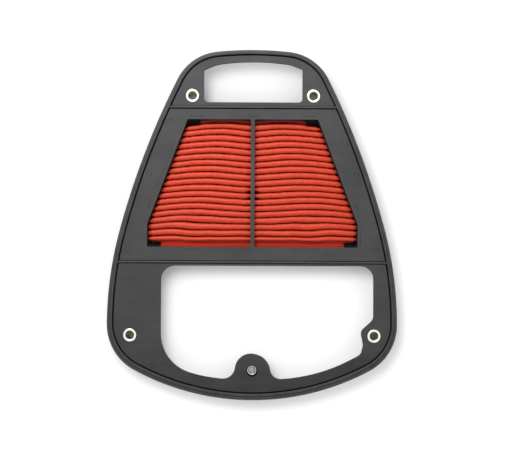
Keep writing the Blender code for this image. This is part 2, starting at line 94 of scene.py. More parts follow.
class Finish:
    """A material under construction round its Principled shader."""

    def __init__(self, name):
        self.material = bpy.data.materials.new(name)
        self.material.use_nodes = True
        self.tree = self.material.node_tree
        self.shader = self.tree.nodes["Principled BSDF"]
        self.place = self.add("ShaderNodeTexCoord", output="Object")

    def add(self, kind, settings=None, inputs=None, output=0):
        """Add one node: its settings first, then the values or links of its sockets."""
        node = self.tree.nodes.new(kind)
        for setting, value in (settings or {}).items():
            setattr(node, setting, value)
        for socket, value in (inputs or {}).items():
            self.feed(node.inputs[socket], value)
        return Value(self, node.outputs[output])

    def feed(self, socket, value):
        if isinstance(value, Value):
            self.tree.links.new(value.socket, socket)
        else:
            socket.default_value = value

    def math(self, operation, first, second):
        return self.add("ShaderNodeMath", {"operation": operation}, {0: first, 1: second})

    def between(self, value, low, high):
        """0 below low, 1 above high, and a smooth step between them."""
        return self.add("ShaderNodeMapRange", {"interpolation_type": "SMOOTHSTEP"},
                        {"Value": value, "From Min": low, "From Max": high})

    def noise(self, size, detail=2.0, stretch=(1.0, 1.0, 1.0), place=None):
        """Noise with blotches of one size, in metres, drawn out by stretch."""
        scaled = self.add("ShaderNodeMapping", inputs={
            "Vector": self.place if place is None else place,
            "Scale": tuple(1.0 / share for share in stretch)})
        return self.add("ShaderNodeTexNoise", inputs={
            "Vector": scaled, "Scale": 1.0 / size, "Detail": detail})

    def bump(self, height, depth, strength=1.0):
        return self.add("ShaderNodeBump", inputs={
            "Height": height, "Distance": depth, "Strength": strength})

    def along(self, axis):
        """Position along one axis of the part."""
        return self.add("ShaderNodeSeparateXYZ", inputs={0: self.place}, output=axis)

    def blend(self, share, first, second):
        """Colour between two colour sockets or plain colours."""
        first, second = (colour if isinstance(colour, Value) else (*colour, 1.0)
                         for colour in (first, second))
        return self.add("ShaderNodeMix", {"data_type": "RGBA"},
                        {0: share, 6: first, 7: second}, output=2)

    def shade(self, inputs):
        for socket, value in inputs.items():
            self.feed(self.shader.inputs[socket], value)
        return self.material


def moulded_nylon(name, dark, light, painted_shade_below):
    """Matt moulded nylon: clouded tone, drawn-out flow streaks and a fine eroded grain.

    It is darker towards the tail: painted light falloff, as from a lamp beyond the nose.  Below a
    height the skin is dull, and its colour near black: painted shade in grooves and recesses.
    """
    finish = Finish(name)
    # Painted shade: below this height the colour goes near black, for the shade in grooves and recesses
    above_painted_shade = finish.between(finish.along("Z"), painted_shade_below - 0.9 * mm, painted_shade_below - 0.2 * mm)
    cloud = finish.noise(26.0 * mm, detail=4.0)
    streak = finish.noise(6.0 * mm, detail=3.0, stretch=(5.0, 1.0, 1.0))
    grain = finish.noise(0.35 * mm, detail=2.0)
    # Painted light falloff: half of the tone darkens towards the tail, half follows clouds and streaks
    painted_light_falloff = finish.between(finish.along("Y"), -118.0 * mm, -60.0 * mm)
    tone = 0.50 * painted_light_falloff + 0.50 * finish.between(0.65 * cloud + 0.35 * streak, 0.30, 0.70)
    skin = finish.blend(tone, dark, light)
    return finish.shade({
        "Base Color": finish.blend(above_painted_shade, (0.006, 0.006, 0.006), skin),
        "Roughness": 0.95 - 0.47 * above_painted_shade + 0.10 * cloud + 0.05 * grain,
        "Specular IOR Level": 0.22,
        "Normal": finish.bump(grain, 0.03 * mm, 0.6)})


def show(piece, material, slot, *nodes):
    """Give a finished piece its material, its place on the part and the CAD nodes it stands for."""
    piece.data.materials.clear()
    piece.data.materials.append(material)
    piece.data.shade_smooth()
    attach(piece, "root")
    if nodes:
        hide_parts(*nodes)


def softened(node, name, radius):
    """A CAD solid with its triangles joined, its flat areas merged and its sharp edges rounded."""
    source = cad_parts[node].data
    mesh = bpy.data.meshes.new(name)
    corners = [tuple(face.vertices) for face in source.polygons]
    mesh.from_pydata([tuple(vertex.co) for vertex in source.vertices], [], corners)
    cage = bmesh.new()
    cage.from_mesh(mesh)
    bmesh.ops.remove_doubles(cage, verts=cage.verts, dist=0.001 * mm)
    bmesh.ops.dissolve_limit(cage, angle_limit=math.radians(0.3), verts=cage.verts, edges=cage.edges)
    cage.to_mesh(mesh)
    cage.free()
    piece = bpy.data.objects.new(name, mesh)
    bpy.context.scene.collection.objects.link(piece)
    bevel = piece.modifiers.new("mould_radius", "BEVEL")
    bevel.width = radius
    bevel.segments = 2
    bevel.limit_method = "ANGLE"
    bevel.angle_limit = math.radians(45.0)
    bevel.harden_normals = True
    return piece


NYLON_DARK = (0.020, 0.020, 0.020)
NYLON_LIGHT = (0.044, 0.044, 0.044)
plate_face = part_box("front_plate")[1].z
plate_back = plate_face - 4.0 * mm
plate = softened("front_plate", "moulded_plate", 0.22 * mm)
show(plate, moulded_nylon("plate_nylon", NYLON_DARK, NYLON_LIGHT, plate_face),
     "moulded_plastic", "front_plate")


# ---- Mould marks ---------------------------------------------------------------------------
# Fine raised witness lines on the plate's face: a ring where each ejector pin pushed, and short
# lines beside the window where the inserts that form the tray's clips met the mould.

def shell(grid, loop_rows=False, loop_columns=False, caps=False):
    """Faces over a grid of points, turned so that a closed or tube-like shell faces outwards.

    Corner (i, j) joins (i+1, j), (i+1, j+1) and (i, j+1); a loop joins the last row or column to
    the first, and caps close the two end rows.  Returns the points, each face's corners in one
    run, the number of corners of each face, and each corner's place on the grid.
    """
    rows, columns = grid.shape[:2]
    down = np.arange(rows if loop_rows else rows - 1)
    across = np.arange(columns if loop_columns else columns - 1)
    i, j = (steps.reshape(-1, 1) for steps in np.meshgrid(down, across, indexing="ij"))
    corner_i = i + np.array([0, 1, 1, 0])
    corner_j = j + np.array([0, 0, 1, 1])
    faces = (corner_i % rows) * columns + corner_j % columns
    points = grid.reshape(-1, 3)
    corners = points[faces] - points.mean(axis=0)
    areas = np.cross(corners[:, 2] - corners[:, 0], corners[:, 3] - corners[:, 1])
    places = np.stack([corner_i / len(down), corner_j / len(across)], axis=-1)
    first_cap = np.arange(columns)
    last_cap = (rows - 1) * columns + first_cap[::-1]
    if (corners.mean(axis=1) * areas).sum() < 0.0:
        faces, places = faces[:, ::-1], places[:, ::-1]
        first_cap, last_cap = first_cap[::-1], last_cap[::-1]
    faces, places = faces.reshape(-1), places.reshape(-1, 2)
    sizes = np.full(len(i), 4)
    if caps:
        faces = np.concatenate([faces, first_cap, last_cap])
        sizes = np.concatenate([sizes, [columns, columns]])
        places = np.concatenate([places, np.zeros((2 * columns, 2))])
    return points, faces, sizes, places


def formed(name, shells):
    """One object made of shells, with each corner's place on its grid as the UV map."""
    offsets = np.cumsum([0] + [len(points) for points, *_ in shells])
    points = np.concatenate([points for points, *_ in shells])
    faces = np.concatenate([faces + offset for (_, faces, _, _), offset in zip(shells, offsets)])
    sizes = np.concatenate([sizes for _, _, sizes, _ in shells])
    places = np.concatenate([places for *_, places in shells])
    mesh = bpy.data.meshes.new(name)
    mesh.vertices.add(len(points))
    mesh.vertices.foreach_set("co", points.reshape(-1))
    mesh.loops.add(len(faces))
    mesh.loops.foreach_set("vertex_index", faces)
    mesh.polygons.add(len(sizes))
    mesh.polygons.foreach_set("loop_start", np.cumsum(sizes) - sizes)
    mesh.uv_layers.new(name="grid").uv.foreach_set("vector", places.reshape(-1))
    mesh.update(calc_edges=True)
    piece = bpy.data.objects.new(name, mesh)
    bpy.context.scene.collection.objects.link(piece)
    return piece


def swept(path, normals, offsets, heights):
    """Profile carried along a flat path: point = path + normal * offset, at its own height.

    path and normals have one row per step; offsets and heights have one column per profile point,
    and one row per step or one row for all.
    """
    flat = path[:, None, :] + normals[:, None, :] * np.asarray(offsets)[..., None]
    heights = np.broadcast_to(heights, flat.shape[:2])
    return np.concatenate([flat, heights[..., None]], axis=-1)


def circle(centre, radius, steps):
    """Points and outward normals round a circle, anticlockwise."""
    angles = np.arange(steps) * 2.0 * math.pi / steps
    normals = np.stack([np.cos(angles), np.sin(angles)], axis=-1)
    return np.asarray(centre) + radius * normals, normals


def straight(start, end, steps):
    """Points along a straight line, both ends included, and the normals on its right."""
    start, end = np.asarray(start), np.asarray(end)
    ahead = (end - start) / np.linalg.norm(end - start)
    path = start + (end - start) * np.linspace(0.0, 1.0, steps)[:, None]
    return path, np.broadcast_to([ahead[1], -ahead[0]], path.shape)


MARK_WIDTH = 0.34 * mm
MARK_HEIGHT = 0.09 * mm
PIN_RADIUS = 1.85 * mm
PIN_PLACES = ((59.3, 73.6), (73.8, 36.4), (88.6, -17.7), (91.5, -31.7), (70.0, -100.0))
CLIP_LINES = (
    ((34.9, 77.5), (44.8, 77.5)),
    ((37.8, -17.4), (47.8, -17.4)),
    ((71.9, 19.0), (74.9, 11.2)),
)

mark_turn = np.linspace(math.pi, 0.0, 7)
mark_offsets = np.append(np.cos(mark_turn), [0.9, -0.9])[None] * MARK_WIDTH / 2.0
mark_heights = plate_face + np.append(np.sin(mark_turn) * MARK_HEIGHT, [-0.1 * mm, -0.1 * mm])[None]
marks = []
for side in (-1.0, 1.0):
    for x, y in PIN_PLACES:
        ring = circle((side * x * mm, y * mm), PIN_RADIUS, 48)
        marks.append(shell(swept(*ring, mark_offsets, mark_heights), True, True))
    for (x, y), (end_x, end_y) in CLIP_LINES:
        line = straight((side * x * mm, y * mm), (side * end_x * mm, end_y * mm), 2)
        marks.append(shell(swept(*line, mark_offsets, mark_heights), False, True, caps=True))
for start, end in (((-3.6, 77.5), (4.4, 77.5)), ((-3.2, -17.4), (5.2, -17.4)),
                   ((77.0, -3.2), (77.0, -13.6)), ((75.3, -3.2), (77.0, -3.2)),
                   ((77.0, -13.6), (75.3, -13.6))):
    line = straight(np.array(start) * mm, np.array(end) * mm, 2)
    marks.append(shell(swept(*line, mark_offsets, mark_heights), False, True, caps=True))
mould_marks = formed("mould_marks", marks)
# Painted shade: the marks' nylon is a shade darker than the plate's, for the fine shadows along them
show(mould_marks, moulded_nylon("mark_nylon_painted_shade", (0.016, 0.016, 0.017), (0.024, 0.024, 0.025),
                                plate_face), "moulded_plastic")


# ---- Bolt collars --------------------------------------------------------------------------
# Four turned steel collars, zinc plated, moulded into the plate so that the bolts can't crush it.
# Each is a plain tube with a small radius on every edge and fine turning marks round its face.

def rounded(corners, steps=4, support=0.12):
    """Closed outline through corners (a, b, radius), each rounded by an arc of a few steps.

    An arc touches both sides at radius / tan(half the angle) from the corner; one more point just
    before and after it keeps the flat faces flat under smooth shading.
    """
    places = np.array([corner[:2] for corner in corners])
    outline = []
    for index, (*_, radius) in enumerate(corners):
        corner = places[index]
        back = places[index - 1] - corner
        ahead = places[(index + 1) % len(places)] - corner
        back = back / np.linalg.norm(back)
        ahead = ahead / np.linalg.norm(ahead)
        half = math.acos(np.clip(back @ ahead, -1.0, 1.0)) / 2.0
        reach = radius / math.tan(half)
        middle = (back + ahead) / np.linalg.norm(back + ahead)
        centre = corner + middle * radius / math.sin(half)
        start = corner + back * reach - centre
        end = corner + ahead * reach - centre
        share = np.linspace(0.0, 1.0, steps + 1)[:, None]
        turn = math.pi - 2.0 * half
        arc = (np.sin((1.0 - share) * turn) * start + np.sin(share * turn) * end) / math.sin(turn)
        outline.append(corner + back * reach * (1.0 + support))
        outline.extend(centre + arc)
        outline.append(corner + ahead * reach * (1.0 + support))
    return np.array(outline)


def turned_shell(centre, profile, steps=96):
    """Surface of revolution: the profile's (radius, height) points carried round a vertical axis."""
    path, normals = circle(centre, 0.0, steps)
    return shell(swept(path, normals, profile[None, :, 0], profile[None, :, 1]), True, True)


def plated_metal(name, dark, light, roughness, bore, bore_start):
    """Plated and turned metal: rings drawn round the axis, and a blotchy, slightly dulled coat.

    Only the face that the bolt rubs is bright.  The bore, which is the end of the turned profile,
    has its own dark passivated colour.
    """
    finish = Finish(name)
    grid = finish.add("ShaderNodeUVMap", {"uv_map": "grid"})
    along = finish.add("ShaderNodeSeparateXYZ", inputs={0: grid}, output="Y")
    inside = finish.between(along, bore_start - 0.005, bore_start)
    rings = finish.noise(0.012, detail=3.0, stretch=(60.0, 1.0, 1.0), place=grid)
    blotch = finish.noise(1.6 * mm, detail=3.0)
    face = finish.between(finish.along("Z"), plate_face - 1.0 * mm, plate_face - 0.5 * mm)
    coat = finish.blend(finish.between(blotch, 0.3, 0.7), dark, light)
    coat = finish.blend(face, tuple(0.34 * share for share in dark), coat)
    return finish.shade({
        "Base Color": finish.blend(inside, coat, bore),
        "Metallic": 1.0,
        "Roughness": roughness + 0.10 * blotch + 0.08 * rings + 0.25 * inside + 0.20 * (1.0 - face),
        "Normal": finish.bump(rings, 0.01 * mm, 0.5)})


COLLAR_EDGE = 0.35 * mm
COLLAR_BORE = 3.1 * mm
zinc = plated_metal("zinc_plate", (0.86, 0.86, 0.84), (0.97, 0.97, 0.96), 0.24,
                    bore=(0.70, 0.65, 0.46), bore_start=0.96)
for place in ("top_left", "top_right", "bottom_left", "bottom_right"):
    low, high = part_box("bolt_collar_" + place)
    centre = ((low.x + high.x) / 2.0, (low.y + high.y) / 2.0)
    outer = (high.x - low.x) / 2.0
    profile = rounded([
        (COLLAR_BORE, low.z, COLLAR_EDGE),
        (outer, low.z, COLLAR_EDGE),
        (outer, high.z, COLLAR_EDGE),
        (COLLAR_BORE, high.z, COLLAR_EDGE),
    ])
    collar = formed("collar_" + place, [turned_shell(centre, profile)])
    show(collar, zinc, "zinc_plate", "bolt_collar_" + place)


# ---- Screw eyelet --------------------------------------------------------------------------
# A flanged eyelet in dull copper-coloured plate, loose in the hole of the tail boss: its rolled
# head shows a fine groove, and its flange holds it from behind.

EYELET_BORE = 1.95 * mm
EYELET_BARREL = 3.25 * mm
EYELET_GROOVE = 2.70 * mm
low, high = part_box("screw_eyelet")
centre = ((low.x + high.x) / 2.0, (low.y + high.y) / 2.0)
flange = (high.x - low.x) / 2.0
flange_top = plate_back - 0.3 * mm
profile = rounded([
    (EYELET_BORE, low.z, 0.3 * mm),
    (flange, low.z, 0.3 * mm),
    (flange, flange_top, 0.3 * mm),
    (EYELET_BARREL, flange_top, 0.15 * mm),
    (EYELET_BARREL, high.z - 0.05 * mm, 0.35 * mm),
    (EYELET_GROOVE, high.z - 0.05 * mm, 0.15 * mm),
    (EYELET_GROOVE - 0.15 * mm, high.z - 0.6 * mm, 0.08 * mm),
    (EYELET_GROOVE - 0.40 * mm, high.z - 0.6 * mm, 0.08 * mm),
    (EYELET_GROOVE - 0.50 * mm, high.z, 0.1 * mm),
    (EYELET_BORE, high.z, 0.2 * mm),
])
eyelet = formed("rolled_eyelet", [turned_shell(centre, profile)])
finish = Finish("copper_plate")
stain = finish.noise(0.9 * mm, detail=3.0)
# Painted shade: below the groove's lip the colour is near black, for the shade in the groove, the bore and
# round the barrel
bright = finish.between(finish.along("Z"), high.z - 0.55 * mm, high.z - 0.25 * mm)
copper = finish.blend(stain, (0.72, 0.63, 0.58), (0.95, 0.89, 0.85))
show(eyelet, finish.shade({
    "Base Color": finish.blend(bright, (0.012, 0.009, 0.008), copper),
    "Metallic": 1.0,
    "Roughness": 0.62 - 0.34 * bright + 0.10 * stain,
    "Normal": finish.bump(stain, 0.03 * mm, 0.4)}), "copper_plate", "screw_eyelet")


# ---- Rear tray -----------------------------------------------------------------------------
# A second nylon moulding that holds the element: four walls, a flange that is welded to the back
# of the plate, and a rear grid.  It stays dark inside, where little light reaches.

tray = softened("rear_tray", "element_tray", 0.25 * mm)
show(tray, moulded_nylon("tray_nylon", (0.024, 0.024, 0.025), (0.036, 0.036, 0.037), 0.0),
     "tray_plastic", "rear_tray")


# ---- Screen border -------------------------------------------------------------------------
# A strip of plated steel folded round the edge of the flame screen, pressed flat in the tray.
# In section it is a U lying on its side, open towards the mesh, with its fold on the outside.

WINDOW_TOP_HALF = 46.5 * mm
WINDOW_TOP_Y = 75.3 * mm
WINDOW_HALF = 75.0 * mm
WINDOW_SHOULDER_Y = 0.7 * mm
WINDOW_LOW_Y = -15.7 * mm
slant_run = WINDOW_HALF - WINDOW_TOP_HALF
slant_fall = WINDOW_TOP_Y - WINDOW_SHOULDER_Y
slant_length = math.hypot(slant_run, slant_fall)


def slant_half_width(y, out=0.0):
    """Half width of the window at height y, its edges moved out by a distance."""
    along_slant = WINDOW_TOP_HALF + (WINDOW_TOP_Y - y) * slant_run / slant_fall
    return np.minimum(along_slant + out * slant_length / slant_fall, WINDOW_HALF + out)


def rounded_path(corners, radius, steps=6):
    """Path and outward normals round a convex outline, clockwise, with every corner rounded."""
    path, normals = [], []
    for index, corner in enumerate(corners):
        back = corner - corners[index - 1]
        ahead = corners[(index + 1) % len(corners)] - corner
        start = math.atan2(back[0], -back[1])
        turn = math.atan2(back[0] * ahead[1] - back[1] * ahead[0], back @ ahead)
        angles = start + turn * np.linspace(0.0, 1.0, steps + 1)
        spokes = np.stack([np.cos(angles), np.sin(angles)], axis=-1)
        middle = start + turn / 2.0
        reach = radius / math.cos(turn / 2.0)
        centre = corner - reach * np.array([math.cos(middle), math.sin(middle)])
        path.append(centre + radius * spokes)
        normals.append(spokes)
    return np.concatenate(path), np.concatenate(normals)


window_right = np.array([
    (WINDOW_TOP_HALF, WINDOW_TOP_Y), (WINDOW_HALF, WINDOW_SHOULDER_Y), (WINDOW_HALF, WINDOW_LOW_Y)])
window_corners = np.concatenate([window_right, window_right[::-1] * (-1.0, 1.0)])
window_path = rounded_path(window_corners, 1.6 * mm)

BORDER_SHEET = 0.22 * mm
border_low, border_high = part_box("screen_border")
BORDER_OUT = border_high.x - WINDOW_HALF
BORDER_IN = BORDER_OUT - 1.8 * mm
mid_z = (border_low.z + border_high.z) / 2.0
half_z = (border_high.z - border_low.z) / 2.0
fold = np.linspace(-math.pi / 2.0, math.pi / 2.0, 9)
outer_fold = np.stack([BORDER_OUT - half_z + half_z * np.cos(fold), mid_z + half_z * np.sin(fold)], -1)
inner_z = half_z - BORDER_SHEET
inner_fold = np.stack([BORDER_OUT - half_z + inner_z * np.cos(fold), mid_z + inner_z * np.sin(fold)], -1)
lips = np.array([[BORDER_IN, border_high.z], [BORDER_IN, border_high.z - BORDER_SHEET]])
lower_lips = np.array([[BORDER_IN, border_low.z + BORDER_SHEET], [BORDER_IN, border_low.z]])
section = np.concatenate([outer_fold, lips, inner_fold[::-1], lower_lips])
border = formed("folded_border", [shell(swept(*window_path, section[None, :, 0], section[None, :, 1]),
                                        True, True)])
finish = Finish("dulled_zinc_strip")
bloom = finish.noise(4.0 * mm, detail=4.0)
rolled = finish.noise(0.4 * mm, detail=2.0, stretch=(4.0, 4.0, 1.0))
show(border, finish.shade({
    "Base Color": finish.blend(bloom, (0.30, 0.30, 0.29), (0.52, 0.52, 0.50)),
    "Metallic": 1.0,
    "Roughness": 0.36 + 0.20 * bloom,
    "Normal": finish.bump(rolled, 0.01 * mm, 0.5)}), "zinc_plate", "screen_border")
border.data.set_sharp_from_angle(angle=math.radians(40.0))


# ---- Flame screen --------------------------------------------------------------------------
# Plain woven steel wire behind the paper.  Each wire passes over one crossing wire and under the
# next: its height is the middle plane plus or minus a cosine with a half wave for each crossing.

WIRE_PITCH = 1.8 * mm
screen_low, screen_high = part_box("wire_screen")
WIRE_RADIUS = (screen_high.z - screen_low.z) / 4.0 - 0.005 * mm
WIRE_RISE = (screen_high.z - screen_low.z) / 4.0
SCREEN_OUT = -0.5 * mm
screen_z = (screen_low.z + screen_high.z) / 2.0
screen_top_y = WINDOW_TOP_Y + SCREEN_OUT
screen_low_y = WINDOW_LOW_Y - SCREEN_OUT
wire_turn = np.arange(6) * math.pi / 3.0


def wire(along_x, place, start, end, phase):
    """One wire: a six-sided tube whose middle line waves up and down about the screen's plane."""
    first, last = math.ceil(2.0 * start / WIRE_PITCH), math.floor(2.0 * end / WIRE_PITCH)
    along = np.concatenate([[start], np.arange(first, last + 1) * WIRE_PITCH / 2.0, [end]])[:, None]
    wave = WIRE_RISE * np.cos(along * math.pi / WIRE_PITCH) * phase
    across = place + WIRE_RADIUS * np.cos(wire_turn)[None, :] + 0.0 * along
    height = screen_z + wave + WIRE_RADIUS * np.sin(wire_turn)[None, :]
    along = along + 0.0 * across
    order = (along, across, height) if along_x else (across, along, height)
    return shell(np.stack(order, axis=-1), False, True, caps=True)


wires = []
for step in range(-41, 42):
    x = step * WIRE_PITCH
    rise = (abs(x) - WINDOW_TOP_HALF - SCREEN_OUT) * slant_fall / slant_run
    if abs(x) < WINDOW_HALF + SCREEN_OUT:
        top = screen_top_y - max(rise, 0.0)
        wires.append(wire(False, x, screen_low_y, top, (-1.0) ** step))
for step in range(math.ceil(screen_low_y / WIRE_PITCH), math.floor(screen_top_y / WIRE_PITCH) + 1):
    y = step * WIRE_PITCH
    half = float(slant_half_width(y, SCREEN_OUT))
    wires.append(wire(True, y, -half, half, -((-1.0) ** step)))

screen = formed("woven_screen", wires)
finish = Finish("drawn_steel_wire")
tarnish = finish.noise(3.0 * mm, detail=3.0)
draw_lines = finish.noise(0.15 * mm, detail=2.0)
steel = finish.shade({
    "Base Color": finish.blend(tarnish, (0.34, 0.33, 0.31), (0.60, 0.60, 0.59)),
    "Metallic": 1.0,
    "Roughness": 0.28 + 0.20 * tarnish,
    "Normal": finish.bump(draw_lines, 0.01 * mm, 0.4)})
show(screen, steel, "steel_wire", "wire_screen")


# ---- Pleated paper -------------------------------------------------------------------------
# One sheet of red oiled filter paper, folded into nineteen full pleats with a half pleat tucked
# under the plate at each end.  Between the rib and the side walls every pleat bows a little
# towards the nose, its ends are pressed thin where they are cast in, and no two are quite alike.

PLEATS = 19
PITCH = 4.43 * mm
FIRST_PLEAT = 69.3 * mm
TIP = 1.62 * mm
PAPER = 0.55 * mm
paper_low, paper_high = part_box("pleated_paper")
floor_z = paper_low.z + PAPER / 2.0 + 0.05 * mm
tip_z = paper_high.z - PAPER / 2.0 - 0.05 * mm
FLAP_TIP_Z = tip_z - 1.4 * mm
valley = PITCH / 2.0 - TIP


def arc_about(y, z, radius, start, end, steps):
    """(y, z) points along an arc, both ends included, angles in degrees."""
    angles = np.radians(np.linspace(start, end, steps))
    return np.stack([y + radius * np.cos(angles), z + radius * np.sin(angles)], axis=-1)


# Section of the sheet from the nose end to the tail end: (y, z) down each leg and over each tip
section = [np.array([[paper_high.y - 0.4 * mm, FLAP_TIP_Z + 0.05 * mm]])]
section.append(arc_about(FIRST_PLEAT + PITCH, FLAP_TIP_Z - TIP, TIP, 75.0, 180.0, 6))
for pleat in range(PLEATS):
    y = FIRST_PLEAT - pleat * PITCH
    section.append(arc_about(y + PITCH / 2.0, floor_z + valley, valley, 0.0, -180.0, 5))
    leg_z = np.linspace(floor_z + valley, tip_z - TIP, 5)[1:-1]
    section.append(np.stack([np.full(3, y + TIP), leg_z], axis=-1))
    section.append(arc_about(y, tip_z - TIP, TIP, 0.0, 180.0, 13))
    section.append(np.stack([np.full(3, y - TIP), leg_z[::-1]], axis=-1))
last_y = FIRST_PLEAT - (PLEATS - 1) * PITCH
# A shallow slope stands in place of the last pleat's tail leg
tail_flap = np.array([[-1.62, 13.1], [-1.8, 12.75], [-2.2, 12.6], [-2.6, 12.65], [-3.1, 12.95],
                      [-3.7, 13.4], [-4.4, 13.6], [-5.1, 13.65], [-5.8, 13.65]]) * mm
section[-1] = tail_flap + [last_y, 0.0]
section = np.concatenate(section)

# Columns from the left wall to the right one, closest together at the walls and beside the rib
COLUMNS = 61
half_columns = (1.0 - np.cos(np.linspace(0.0, math.pi, COLUMNS))) / 2.0
share = np.concatenate([-half_columns[::-1], half_columns[1:]])[None, :]

base_y, base_z = section[:, :1], section[:, 1:]
row = (FIRST_PLEAT - base_y) / PITCH
pleat = np.clip(np.round(row), -1, PLEATS)
centre_y = FIRST_PLEAT - pleat * PITCH
PAPER_OUT = -0.75 * mm
half_width = slant_half_width(base_y, PAPER_OUT)
half_width = np.where(row < -0.5, 37.6 * mm, half_width)
half_width = np.where(row > PLEATS - 0.52, 65.5 * mm, half_width)
x = share * half_width
s = np.abs(share)
right = x > 0.0

# Bow: amplitude * sin(pi * s ** g) ** 1.4, with g set so that the crest lies where it should
chance = np.random.default_rng(7)
knots = np.arange(-1, PLEATS + 1)


def wandering(size, about=0.0):
    """Value for each side that wanders from pleat to pleat, read at every row of the section."""
    left_knots, right_knots = about + size * chance.uniform(-1.0, 1.0, (2, len(knots)))
    return np.where(right, np.interp(row, knots, right_knots), np.interp(row, knots, left_knots))


fading = np.clip((18.9 - row) / 4.6, 0.0, 1.0) ** 1.15
opening = np.clip(0.80 + 0.20 * row, 0.70, 1.0)
amplitude = wandering(0.22 * mm, 2.05 * mm) * fading * opening * np.where(right, 0.93, 1.0)
crest = np.clip((22.5 * mm + 1.45 * mm * row) / half_width, 0.35, 0.62)
crest = np.where(row > 15.0, np.clip(crest + 0.12 * (row - 15.0), 0.35, 0.75), crest)
power = math.log(0.5) / np.log(crest)
bow = amplitude * np.sin(math.pi * s ** power) ** 1.4

# Ripples: two slow waves of each pleat's own phase, strongest in the last rows
restless = 0.07 + 0.30 * np.clip((row - 13.5) / 3.0, 0.0, 1.0) * np.clip((19.4 - row) / 2.0, 0.0, 1.0)
ripple = np.sin(2.0 * math.pi * (1.3 * s + wandering(0.25))) + 0.6 * np.sin(
    2.0 * math.pi * (2.9 * s + wandering(0.35)))
ripple = restless * mm * ripple * np.sin(math.pi * np.clip(s, 0.0, 1.0)) ** 0.7

# Crinkles: three short waves that fade out towards the valleys, as stiff paper puckers at its fold
tip_share = np.clip((base_z - floor_z) / (tip_z - floor_z), 0.0, 1.0)
crinkle = (np.sin(x / (0.83 * mm) + wandering(9.0)) + 0.8 * np.sin(x / (0.47 * mm) + wandering(9.0))
           + np.sin(x / (1.90 * mm) + wandering(9.0))) * 0.055 * mm * tip_share ** 2

# Tips: pressed thinner at both ends and beside the rib, where two pleats are pinched hard
from_wall = half_width - np.abs(x)
from_rib = np.abs(x)
thin = 0.42 * np.exp(-(from_wall / (1.5 * mm)) ** 2) + 0.12 * np.exp(-(from_rib / (3.0 * mm)) ** 2)
pinch = np.where(pleat == 10, 1.0, np.where(pleat == 11, 0.8, 0.0)) * np.exp(-(from_rib / (4.4 * mm)) ** 4)
last_pleat = 1.0 * (pleat == PLEATS - 1)
thin = thin + 0.45 * pinch + 0.25 * last_pleat
shoulder = np.clip((np.abs(x) - 35.0 * mm) / (4.0 * mm), 0.0, 1.0)
shoulder = shoulder * (pleat == 0)
thin = thin + 0.22 * shoulder * np.where(right, 1.3, 0.8)
narrowed = (base_y - centre_y) * (1.0 - np.clip(thin, 0.0, 0.8) * tip_share ** 0.5)
full_pleat = (pleat >= 0) & (pleat < PLEATS) & (row < PLEATS - 0.55)
y = np.where(full_pleat, centre_y + narrowed, base_y)
y = y + bow + ripple + crinkle + (0.50 * pinch + 0.35 * last_pleat - 0.45 * shoulder) * mm * tip_share

# Heights: tips sink where they are pressed, and every crest rises and falls a little
swell = 0.10 * mm * np.sin(2.0 * math.pi * (1.7 * s + wandering(0.5))) - 0.20 * mm
sink = 0.9 * mm * np.exp(-(from_wall / (1.3 * mm)) ** 2) + 0.5 * mm * shoulder
sink = sink + 0.5 * mm * np.exp(-(from_rib / (1.6 * mm)) ** 2) + 0.5 * mm * pinch
z = base_z + (swell - sink) * tip_share ** 2 + 0.4 * crinkle

paper = formed("pleated_sheet", [shell(np.stack([x + 0.0 * y, y, z], axis=-1))])
thickness = paper.modifiers.new("sheet_thickness", "SOLIDIFY")
thickness.thickness = PAPER
thickness.offset = 0.0

finish = Finish("oiled_red_paper")
mottle = finish.noise(2.4 * mm, detail=4.0)
fibre = finish.noise(0.22 * mm, detail=3.0, stretch=(3.0, 1.0, 1.0))
weave = finish.noise(0.7 * mm, detail=2.0)
# Mask of the tips: below them the colour turns to the painted fold shade
raised = finish.between(finish.along("Z"), paper_high.z - 5.0 * mm, paper_high.z - 1.0 * mm)
tone = finish.between(0.45 * mottle + 0.30 * fibre + 0.25 * weave, 0.35, 0.65)
red = finish.blend(tone, (0.39, 0.030, 0.012), (0.49, 0.046, 0.019))

# Painted shade: the folds are a deeper red with almost no green or blue, for shade and red bounce
# light in the valleys, and almost black beside the rib, for its shadow; the two half pleats are painted
# darker
across = finish.along("X")
# Painted shadow of the rib: the fold colour goes almost black within a few millimetres of it
clear_of_rib_shadow = finish.between(across * across, (1.2 * mm) ** 2, (4.6 * mm) ** 2)
painted_fold_shade = finish.blend(clear_of_rib_shadow, (0.020, 0.004, 0.002), (0.60, 0.016, 0.004))
# Painted shadow under the plate's nose edge: the nose half pleat is darkened
nose_half_painted_shadow = finish.between(finish.along("Y"), 71.9 * mm, 72.5 * mm)
# Painted shade on the tail half pleat's slope, which is also made rougher
tail_half_painted_shade = finish.between(finish.along("Y"), -11.9 * mm, -12.9 * mm)
colour = finish.blend(raised, painted_fold_shade, red)
colour = finish.blend(tail_half_painted_shade, colour, (0.30, 0.013, 0.004))
colour = finish.blend(nose_half_painted_shadow, colour, (0.15, 0.010, 0.003))
oiled_paper = finish.shade({
    "Base Color": colour,
    "Roughness": 0.42 + 0.18 * mottle - 0.06 * fibre + 0.40 * tail_half_painted_shade,
    "Specular IOR Level": 0.22,
    "Normal": finish.bump(0.6 * fibre + 0.4 * weave, 0.06 * mm, 0.7)})
show(paper, oiled_paper, "filter_paper", "pleated_paper")


# ---- Sealing compound ----------------------------------------------------------------------
# Dark compound cast along both side walls of the tray, which the pleat ends are set in.  It
# climbs the wall a little and wraps each pleat, so its edge is scalloped at the pleats' pitch.

